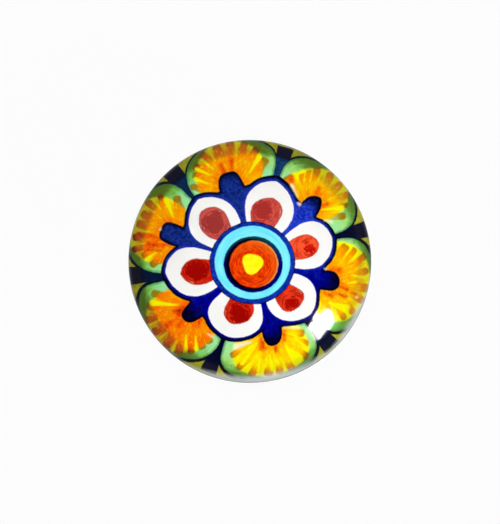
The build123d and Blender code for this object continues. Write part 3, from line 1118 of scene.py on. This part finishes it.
def painted_glaze():
    """The body's finish: glaze and paint over it, and bare fired clay below the glaze's edge."""
    finish = Paint("painted_glaze")
    colour = fan_colours(finish, tin_glaze(finish))
    # Painted shade: past the shoulder the paint is laid toward black, more on the left and top than at the
    # lower right
    in_rim_shade = finish.stored("front_radius").step(*rim_shade_darkening) * finish.stored("painted_rim_shade")
    on_paint = finish.stored("paint_end_depth").step(-0.3, 0.3)
    colour = blue_colours(finish, colour.lay(rim_shade_dark, in_rim_shade * on_paint))
    # Cream where the glaze shows through, and two small painted highlights
    colour = colour.lay(cream_and_highlight, finish.cover("bare", 0.85))
    # Painted shade: a thin dark line just inside the lower edge, where the rim turns away
    colour = colour.lay(rim_shade_line_grey, finish.stored("rim_shade_line"))
    colour = eye_colours(finish, petal_colours(finish, colour))

    bare = (finish.stored("glaze_height") + finish.noise(2.2).swing(0.3)).step(0.06, -0.06)
    grit = finish.noise(5.5, 5, roughness=0.7).step(0.55, 0.72, 0.45)
    colour = colour.lay(finish.mottled(clay, 0.8).lay(clay_grit, grit), bare)

    gloss = finish.noise(0.7) * 0.035 + 0.015
    rough = finish.node("Mix", {0: bare, 2: gloss, 3: 0.85})
    blue, spot = finish.stored("blue_depth"), finish.stored("spot_depth")
    raised = blue.step(-0.1, 0.15, blue_raised) + spot.step(-0.1, 0.2, spot_raised)
    smooth = raised + (finish.noise(0.32, 2) * 0.03 + finish.noise(2.5, 2) * 0.0025)
    grain = finish.noise(4.0, 6, roughness=0.65) * 0.09
    relief = finish.node("Mix", {0: bare, 2: smooth, 3: grain})
    return finish.surface(colour, rough, relief, {"Specular IOR Level": glaze_gloss})


def turned_brass():
    """Dull brass with the fine rings that a lathe leaves, and tarnish in patches."""
    finish = Finish("turned_brass")
    tarnish = finish.noise(0.9, 5, roughness=0.65).step(0.52, 0.72)
    colour = finish.mottled(brass_colour, 0.6).lay(brass_tarnish, tarnish * 0.5)
    x, y = (finish.node("SeparateXYZ", {0: finish.at}, axis) for axis in "XY")
    distance = finish.maths("SQRT", x * x + y * y)
    rings = finish.node("TexNoise", {"W": distance * 9.0, "Scale": 1.0}, noise_dimensions="1D")
    return finish.surface(colour, tarnish * 0.2 + 0.28, rings * 0.02, {"Metallic": 1.0})


def background_rays(graph):
    """1 for the rays that show the background: those of the camera and of gloss and glass."""
    kinds = ("Is Camera Ray", "Is Glossy Ray", "Is Transmission Ray")
    camera, gloss, glass = (graph.node("LightPath", {}, kind) for kind in kinds)
    return camera.larger(gloss).larger(glass)


def studio_floor():
    """A plain pale floor that keeps the knob's shadow."""
    side = 2.0
    mesh = bpy.data.meshes.new("floor")
    corners = [(-side, -side), (side, -side), (side, side), (-side, side)]
    mesh.from_pydata([(*corner, -floor_drop * MM) for corner in corners], [], [(0, 1, 2, 3)])
    floor = bpy.data.objects.new("floor", mesh)
    bpy.context.scene.collection.objects.link(floor)
    material = bpy.data.materials.new("pale_floor")
    graph = Graph(material, empty=True)
    diffuse = graph.node("BsdfDiffuse", {"Color": (floor_level, floor_level, floor_level, 1)})
    glow = graph.node("Emission", {})
    graph.show("Material", background_rays(graph) * floor_glow_share, diffuse, glow)
    mesh.materials.append(material)


def studio_room():
    """Even light from all round, and a white background that the ceiling darkens only in the glaze."""
    world = bpy.data.worlds.new("studio_room")
    graph = Graph(world, empty=True)
    direction = graph.node("TexCoord", {}, "Generated")
    steep = graph.node("SeparateXYZ", {0: direction}, "Z")
    mirrored = 1.0 - steep.step(*ceiling_edge, 1 - ceiling_level)
    shown = mirrored.larger(graph.node("LightPath", {}, "Is Camera Ray"))
    room, white = (
        graph.node("Background", {"Color": (1, 1, 1, 1), "Strength": level}) for level in (room_level, shown)
    )
    graph.show("World", background_rays(graph), room, white)
    bpy.context.scene.world = world


def soft_edges(data):
    """Fades a lamp toward three of its edges."""
    graph = Graph(data)
    place = graph.node("NewGeometry", {}, "Parametric")
    fades = [
        graph.node("SeparateXYZ", {0: place}, axis).step(start, end) for axis, start, end in glint_fades
    ]
    graph.feed(graph.tree.nodes["Emission"].inputs["Strength"], fades[0] * fades[1] * fades[2])


def lamp(name, azimuth, elevation, distance, size, level, mirrored=True, lights=True):
    """A soft lamp that faces the knob. Level is how bright it makes a white surface that faces it."""
    data = bpy.data.lights.new(name, "AREA")
    data.shape = "RECTANGLE"
    data.size, data.size_y = size
    data.energy = level * math.pi**2 * distance**2
    light = bpy.data.objects.new(name, data)
    a, e = math.radians(azimuth), math.radians(elevation)
    direction = np.array([math.cos(a) * math.cos(e), math.sin(a) * math.cos(e), math.sin(e)])
    target = np.array([0, 0, widest_height * MM])
    light.location = target + direction * distance
    light.rotation_mode = "QUATERNION"
    light.rotation_quaternion = Vector(direction).to_track_quat("Z", "Y")
    light.visible_camera = False
    light.visible_glossy = mirrored
    light.visible_diffuse = lights
    bpy.context.scene.collection.objects.link(light)
    return data


def studio_camera():
    """A camera straight in front of the face, as in the picture."""
    scale = 2 * head_radius / knob_width_in_picture
    data = bpy.data.cameras.new("camera")
    data.sensor_width = sensor_width
    data.lens = sensor_width * camera_distance / (picture_size[1] * scale)
    camera = bpy.data.objects.new("camera", data)
    aside = (picture_size[0] / 2 - knob_in_picture[0]) * scale
    up = (knob_in_picture[1] - picture_size[1] / 2) * scale
    camera.location = (aside * MM, up * MM, (widest_height + camera_distance) * MM)
    bpy.context.scene.collection.objects.link(camera)
    bpy.context.scene.camera = camera


def build():
    """Makes the knob's pieces and the studio round them."""
    body = knob_body()
    body.data.materials.append(painted_glaze())
    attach(body, "root")
    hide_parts("glazed_body")

    insert = brass_insert()
    insert.data.materials.append(turned_brass())
    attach(insert, "root")
    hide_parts("threaded_insert")

    studio_floor()
    studio_room()
    lamp("overhead", *overhead_place, overhead_size, overhead_level, mirrored=False)
    lamp("window", *window_place, window_size, window_level)
    soft_edges(lamp("glint", *window_place, glint_size, glint_level, lights=False))
    studio_camera()
    bpy.context.scene.view_settings.view_transform = "Standard"


build()
